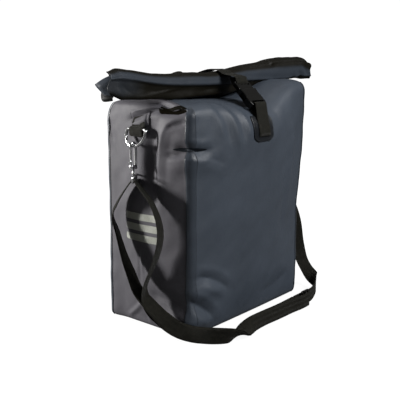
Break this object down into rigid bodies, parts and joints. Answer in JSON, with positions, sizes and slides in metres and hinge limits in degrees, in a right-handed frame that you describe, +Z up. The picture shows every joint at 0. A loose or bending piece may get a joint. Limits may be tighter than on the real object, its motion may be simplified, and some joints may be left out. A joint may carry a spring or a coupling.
{
  "type": "pannier bag",
  "caption": "Roll-top bicycle pannier bag of coated fabric with a buckled closure strap, a shoulder strap on snap hooks, side reflectors and rack hooks on the back.",
  "frame": {"origin": "centre of the flat base, on the surface that the bag stands on", "axes": "+X along the bag's width, +Y to its back, where the rack fittings are, +Z up"},
  "size_m": [0.495, 0.3023, 0.4285],
  "materials": {
    "front_fabric": "dark slate tarpaulin, satin coated",
    "gusset_fabric": "grey tarpaulin, satin coated",
    "roll_fabric": "near-black tarpaulin, satin coated",
    "webbing": "black woven polyester webbing",
    "buckle_plastic": "black acetal, semi-gloss",
    "rail_plastic": "black glass-filled nylon, fine texture",
    "chrome": "bright nickel plate",
    "screw_steel": "stainless steel",
    "reflector": "pale grey retroreflective film",
    "board": "black polyethylene sheet"
  },
  "bodies": {
    "bag": {"front_panel": "front_fabric", "back_panel": "front_fabric", "gusset_left": "gusset_fabric", "gusset_right": "gusset_fabric", "base_panel": "front_fabric", "back_stiffener": "board", "base_stiffener": "board", "seam_tape_front_left": "front_fabric", "seam_tape_front_right": "front_fabric", "seam_tape_back_left": "front_fabric", "seam_tape_back_right": "front_fabric", "closure_patch": "front_fabric", "closure_tab": "webbing", "closure_strap": "webbing", "buckle_socket": "buckle_plastic", "ring_loop_left": "webbing", "ring_loop_right": "webbing", "ring_patch_left": "gusset_fabric", "ring_patch_right": "gusset_fabric", "reflector_left_1": "reflector", "reflector_left_2": "reflector", "reflector_left_3": "reflector", "reflector_right_1": "reflector", "reflector_right_2": "reflector", "reflector_right_3": "reflector", "shoulder_strap": "webbing", "upper_rail": "rail_plastic", "lower_rail": "rail_plastic", "upper_rail_screw_1": "screw_steel", "upper_rail_screw_2": "screw_steel", "upper_rail_screw_3": "screw_steel", "upper_rail_screw_4": "screw_steel", "lower_rail_screw_1": "screw_steel", "lower_rail_screw_2": "screw_steel"},
    "roll": {"roll_wrap": "roll_fabric", "mouth_batten_front": "board", "mouth_batten_back": "board"},
    "plug": {"buckle_plug": "buckle_plastic"},
    "prong_left": {"buckle_prong_left": "buckle_plastic"},
    "prong_right": {"buckle_prong_right": "buckle_plastic"},
    "slider": {"strap_slider": "buckle_plastic"},
    "anchor_slide": {"anchor_carriage": "rail_plastic"},
    "anchor": {"anchor_arm": "rail_plastic"},
    "handle": {"carry_handle": "webbing"},
    "ring_left": {"d_ring_left": "chrome", "swivel_eye_left": "chrome"},
    "hook_left": {"snap_hook_left": "chrome"},
    "gate_left": {"hook_gate_left": "chrome"},
    "rack_left": {"rack_hook_left": "rail_plastic", "hook_insert_left": "buckle_plastic"},
    "lever_left": {"hook_lever_left": "buckle_plastic"},
    "ring_right": {"d_ring_right": "chrome", "swivel_eye_right": "chrome"},
    "hook_right": {"snap_hook_right": "chrome"},
    "gate_right": {"hook_gate_right": "chrome"},
    "rack_right": {"rack_hook_right": "rail_plastic", "hook_insert_right": "buckle_plastic"},
    "lever_right": {"hook_lever_right": "buckle_plastic"}
  },
  "joints": [
    {"name": "roll_unfold", "type": "hinge", "parent": "bag", "child": "roll", "pos_m": [0, 0.0122, 0.3985], "axis": [-1, 0, 0], "range_deg": [0, 150], "deforming": ["closure_strap"]},
    {"name": "buckle_release", "type": "slide", "parent": "bag", "child": "plug", "axis": [0, 0.7071, 0.7071], "range_m": [0, 0.024], "deforming": ["closure_strap"]},
    {"name": "prong_left_squeeze", "type": "hinge", "parent": "plug", "child": "prong_left", "pos_m": [-0.0105, -0.07643, 0.37607], "axis": [0, -0.7071, 0.7071], "range_deg": [0, 7], "stiffness_Nm_per_rad": 0.05},
    {"name": "prong_right_squeeze", "type": "hinge", "parent": "plug", "child": "prong_right", "pos_m": [0.0105, -0.07643, 0.37607], "axis": [0, -0.7071, 0.7071], "range_deg": [-7, 0], "stiffness_Nm_per_rad": 0.05},
    {"name": "slider_slide", "type": "slide", "parent": "bag", "child": "slider", "axis": [1, 0, 0], "range_m": [-0.012, 0.01]},
    {"name": "anchor_slide", "type": "slide", "parent": "bag", "child": "anchor_slide", "axis": [1, 0, 0], "range_m": [-0.05, 0.05]},
    {"name": "anchor_turn", "type": "hinge", "parent": "anchor_slide", "child": "anchor", "pos_m": [0, 0.1022, 0.11], "axis": [0, 1, 0], "range_deg": [-90, 90]},
    {"name": "handle_swing", "type": "hinge", "parent": "bag", "child": "handle", "pos_m": [0, 0.1105, 0.313], "axis": [-1, 0, 0], "range_deg": [0, 75], "stiffness_Nm_per_rad": 0.03},
    {"name": "ring_left_swing", "type": "hinge", "parent": "bag", "child": "ring_left", "pos_m": [-0.1668, 0.0045, 0.3205], "axis": [0, 1, 0], "range_deg": [0, 30], "deforming": ["shoulder_strap"]},
    {"name": "hook_left_swivel", "type": "hinge", "parent": "ring_left", "child": "hook_left", "pos_m": [-0.1753, 0.0045, 0.264], "axis": [0, 0, 1], "range_deg": [-25, 25]},
    {"name": "gate_left_press", "type": "hinge", "parent": "hook_left", "child": "gate_left", "pos_m": [-0.1803, 0.0045, 0.2645], "axis": [0, 1, 0], "range_deg": [0, 8], "stiffness_Nm_per_rad": 0.02},
    {"name": "rack_hook_left_slide", "type": "slide", "parent": "bag", "child": "rack_left", "axis": [1, 0, 0], "range_m": [-0.018, 0.014]},
    {"name": "lever_left_open", "type": "hinge", "parent": "rack_left", "child": "lever_left", "pos_m": [-0.074, 0.1078, 0.302], "axis": [-1, 0, 0], "range_deg": [0, 30], "stiffness_Nm_per_rad": 0.05},
    {"name": "ring_right_swing", "type": "hinge", "parent": "bag", "child": "ring_right", "pos_m": [0.1668, 0.0045, 0.3205], "axis": [0, -1, 0], "range_deg": [0, 30], "deforming": ["shoulder_strap"]},
    {"name": "hook_right_swivel", "type": "hinge", "parent": "ring_right", "child": "hook_right", "pos_m": [0.1753, 0.0045, 0.264], "axis": [0, 0, 1], "range_deg": [-25, 25]},
    {"name": "gate_right_press", "type": "hinge", "parent": "hook_right", "child": "gate_right", "pos_m": [0.1803, 0.0045, 0.2645], "axis": [0, -1, 0], "range_deg": [0, 8], "stiffness_Nm_per_rad": 0.02},
    {"name": "rack_hook_right_slide", "type": "slide", "parent": "bag", "child": "rack_right", "axis": [1, 0, 0], "range_m": [-0.014, 0.018]},
    {"name": "lever_right_open", "type": "hinge", "parent": "rack_right", "child": "lever_right", "pos_m": [0.074, 0.1078, 0.302], "axis": [-1, 0, 0], "range_deg": [0, 30], "stiffness_Nm_per_rad": 0.05}
  ],
  "couplings": [
    {"joint": "prong_right_squeeze", "follows": "prong_left_squeeze", "ratio": -1}
  ]
}
